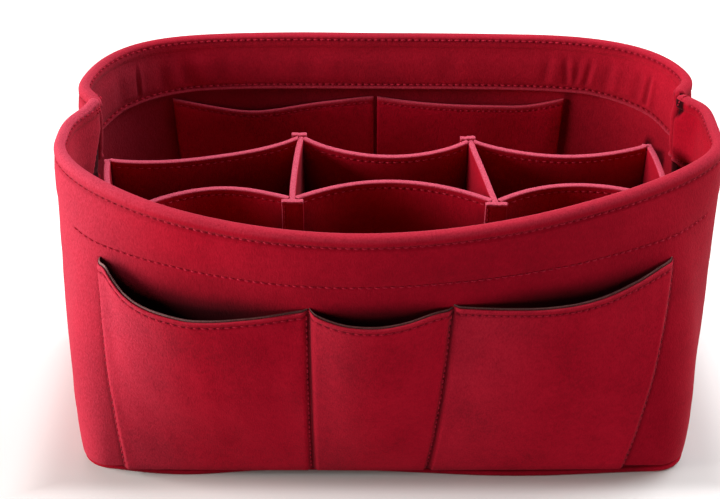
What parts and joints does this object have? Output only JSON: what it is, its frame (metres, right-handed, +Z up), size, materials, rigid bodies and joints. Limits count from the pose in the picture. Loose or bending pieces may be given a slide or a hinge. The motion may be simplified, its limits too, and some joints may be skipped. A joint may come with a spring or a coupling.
{
  "type": "purse organizer insert",
  "caption": "Soft oval open-topped organizer insert for a handbag, with sewn outer and inner pockets and a lift-out divider rack.",
  "frame": {"origin": "middle of the bounding box, at the bottom, on the surface that the insert stands on", "axes": "+X to the right when the outer pockets face the viewer, +Y from the front wall to the back wall, +Z up"},
  "size_m": [0.2918, 0.1746, 0.1485],
  "materials": {
    "shell_suede": "brushed microfibre suede",
    "pocket_suede": "brushed microfibre suede",
    "divider_suede": "brushed microfibre suede",
    "lining": "thin dark backing",
    "tape": "woven seam tape",
    "board": "stiff base board"
  },
  "bodies": {
    "shell": {"front_wall": "shell_suede", "front_rim_roll": "shell_suede", "front_facing": "shell_suede", "back_wall": "shell_suede", "back_rim_roll": "shell_suede", "back_facing": "shell_suede", "base_panel": "shell_suede", "base_board": "board", "base_lining": "shell_suede", "side_seam_tape_left": "tape", "side_seam_tape_right": "tape", "outer_pocket_left": "pocket_suede", "outer_pocket_lining_left": "lining", "outer_pocket_centre": "pocket_suede", "outer_pocket_lining_centre": "lining", "outer_pocket_right": "pocket_suede", "outer_pocket_lining_right": "lining", "inner_pocket_left": "pocket_suede", "inner_pocket_right": "pocket_suede"},
    "divider_rack": {"rack_end_divider_left": "divider_suede", "rack_cross_divider_left": "divider_suede", "rack_cross_divider_right": "divider_suede", "rack_end_divider_right": "divider_suede", "rack_rear_panel_left": "divider_suede", "rack_front_panel_left": "divider_suede", "rack_rear_panel_centre": "divider_suede", "rack_front_panel_centre": "divider_suede", "rack_rear_panel_right": "divider_suede", "rack_front_panel_right": "divider_suede", "rack_rear_strip_left_end": "divider_suede", "rack_front_strip_left_end": "divider_suede", "rack_rear_strip_left": "divider_suede", "rack_front_strip_left": "divider_suede", "rack_rear_strip_right": "divider_suede", "rack_front_strip_right": "divider_suede", "rack_rear_strip_right_end": "divider_suede", "rack_front_strip_right_end": "divider_suede"}
  },
  "joints": [
    {"name": "rack_lift", "type": "slide", "parent": "shell", "child": "divider_rack", "axis": [0, 0, 1], "range_m": [0, 0.15]}
  ]
}
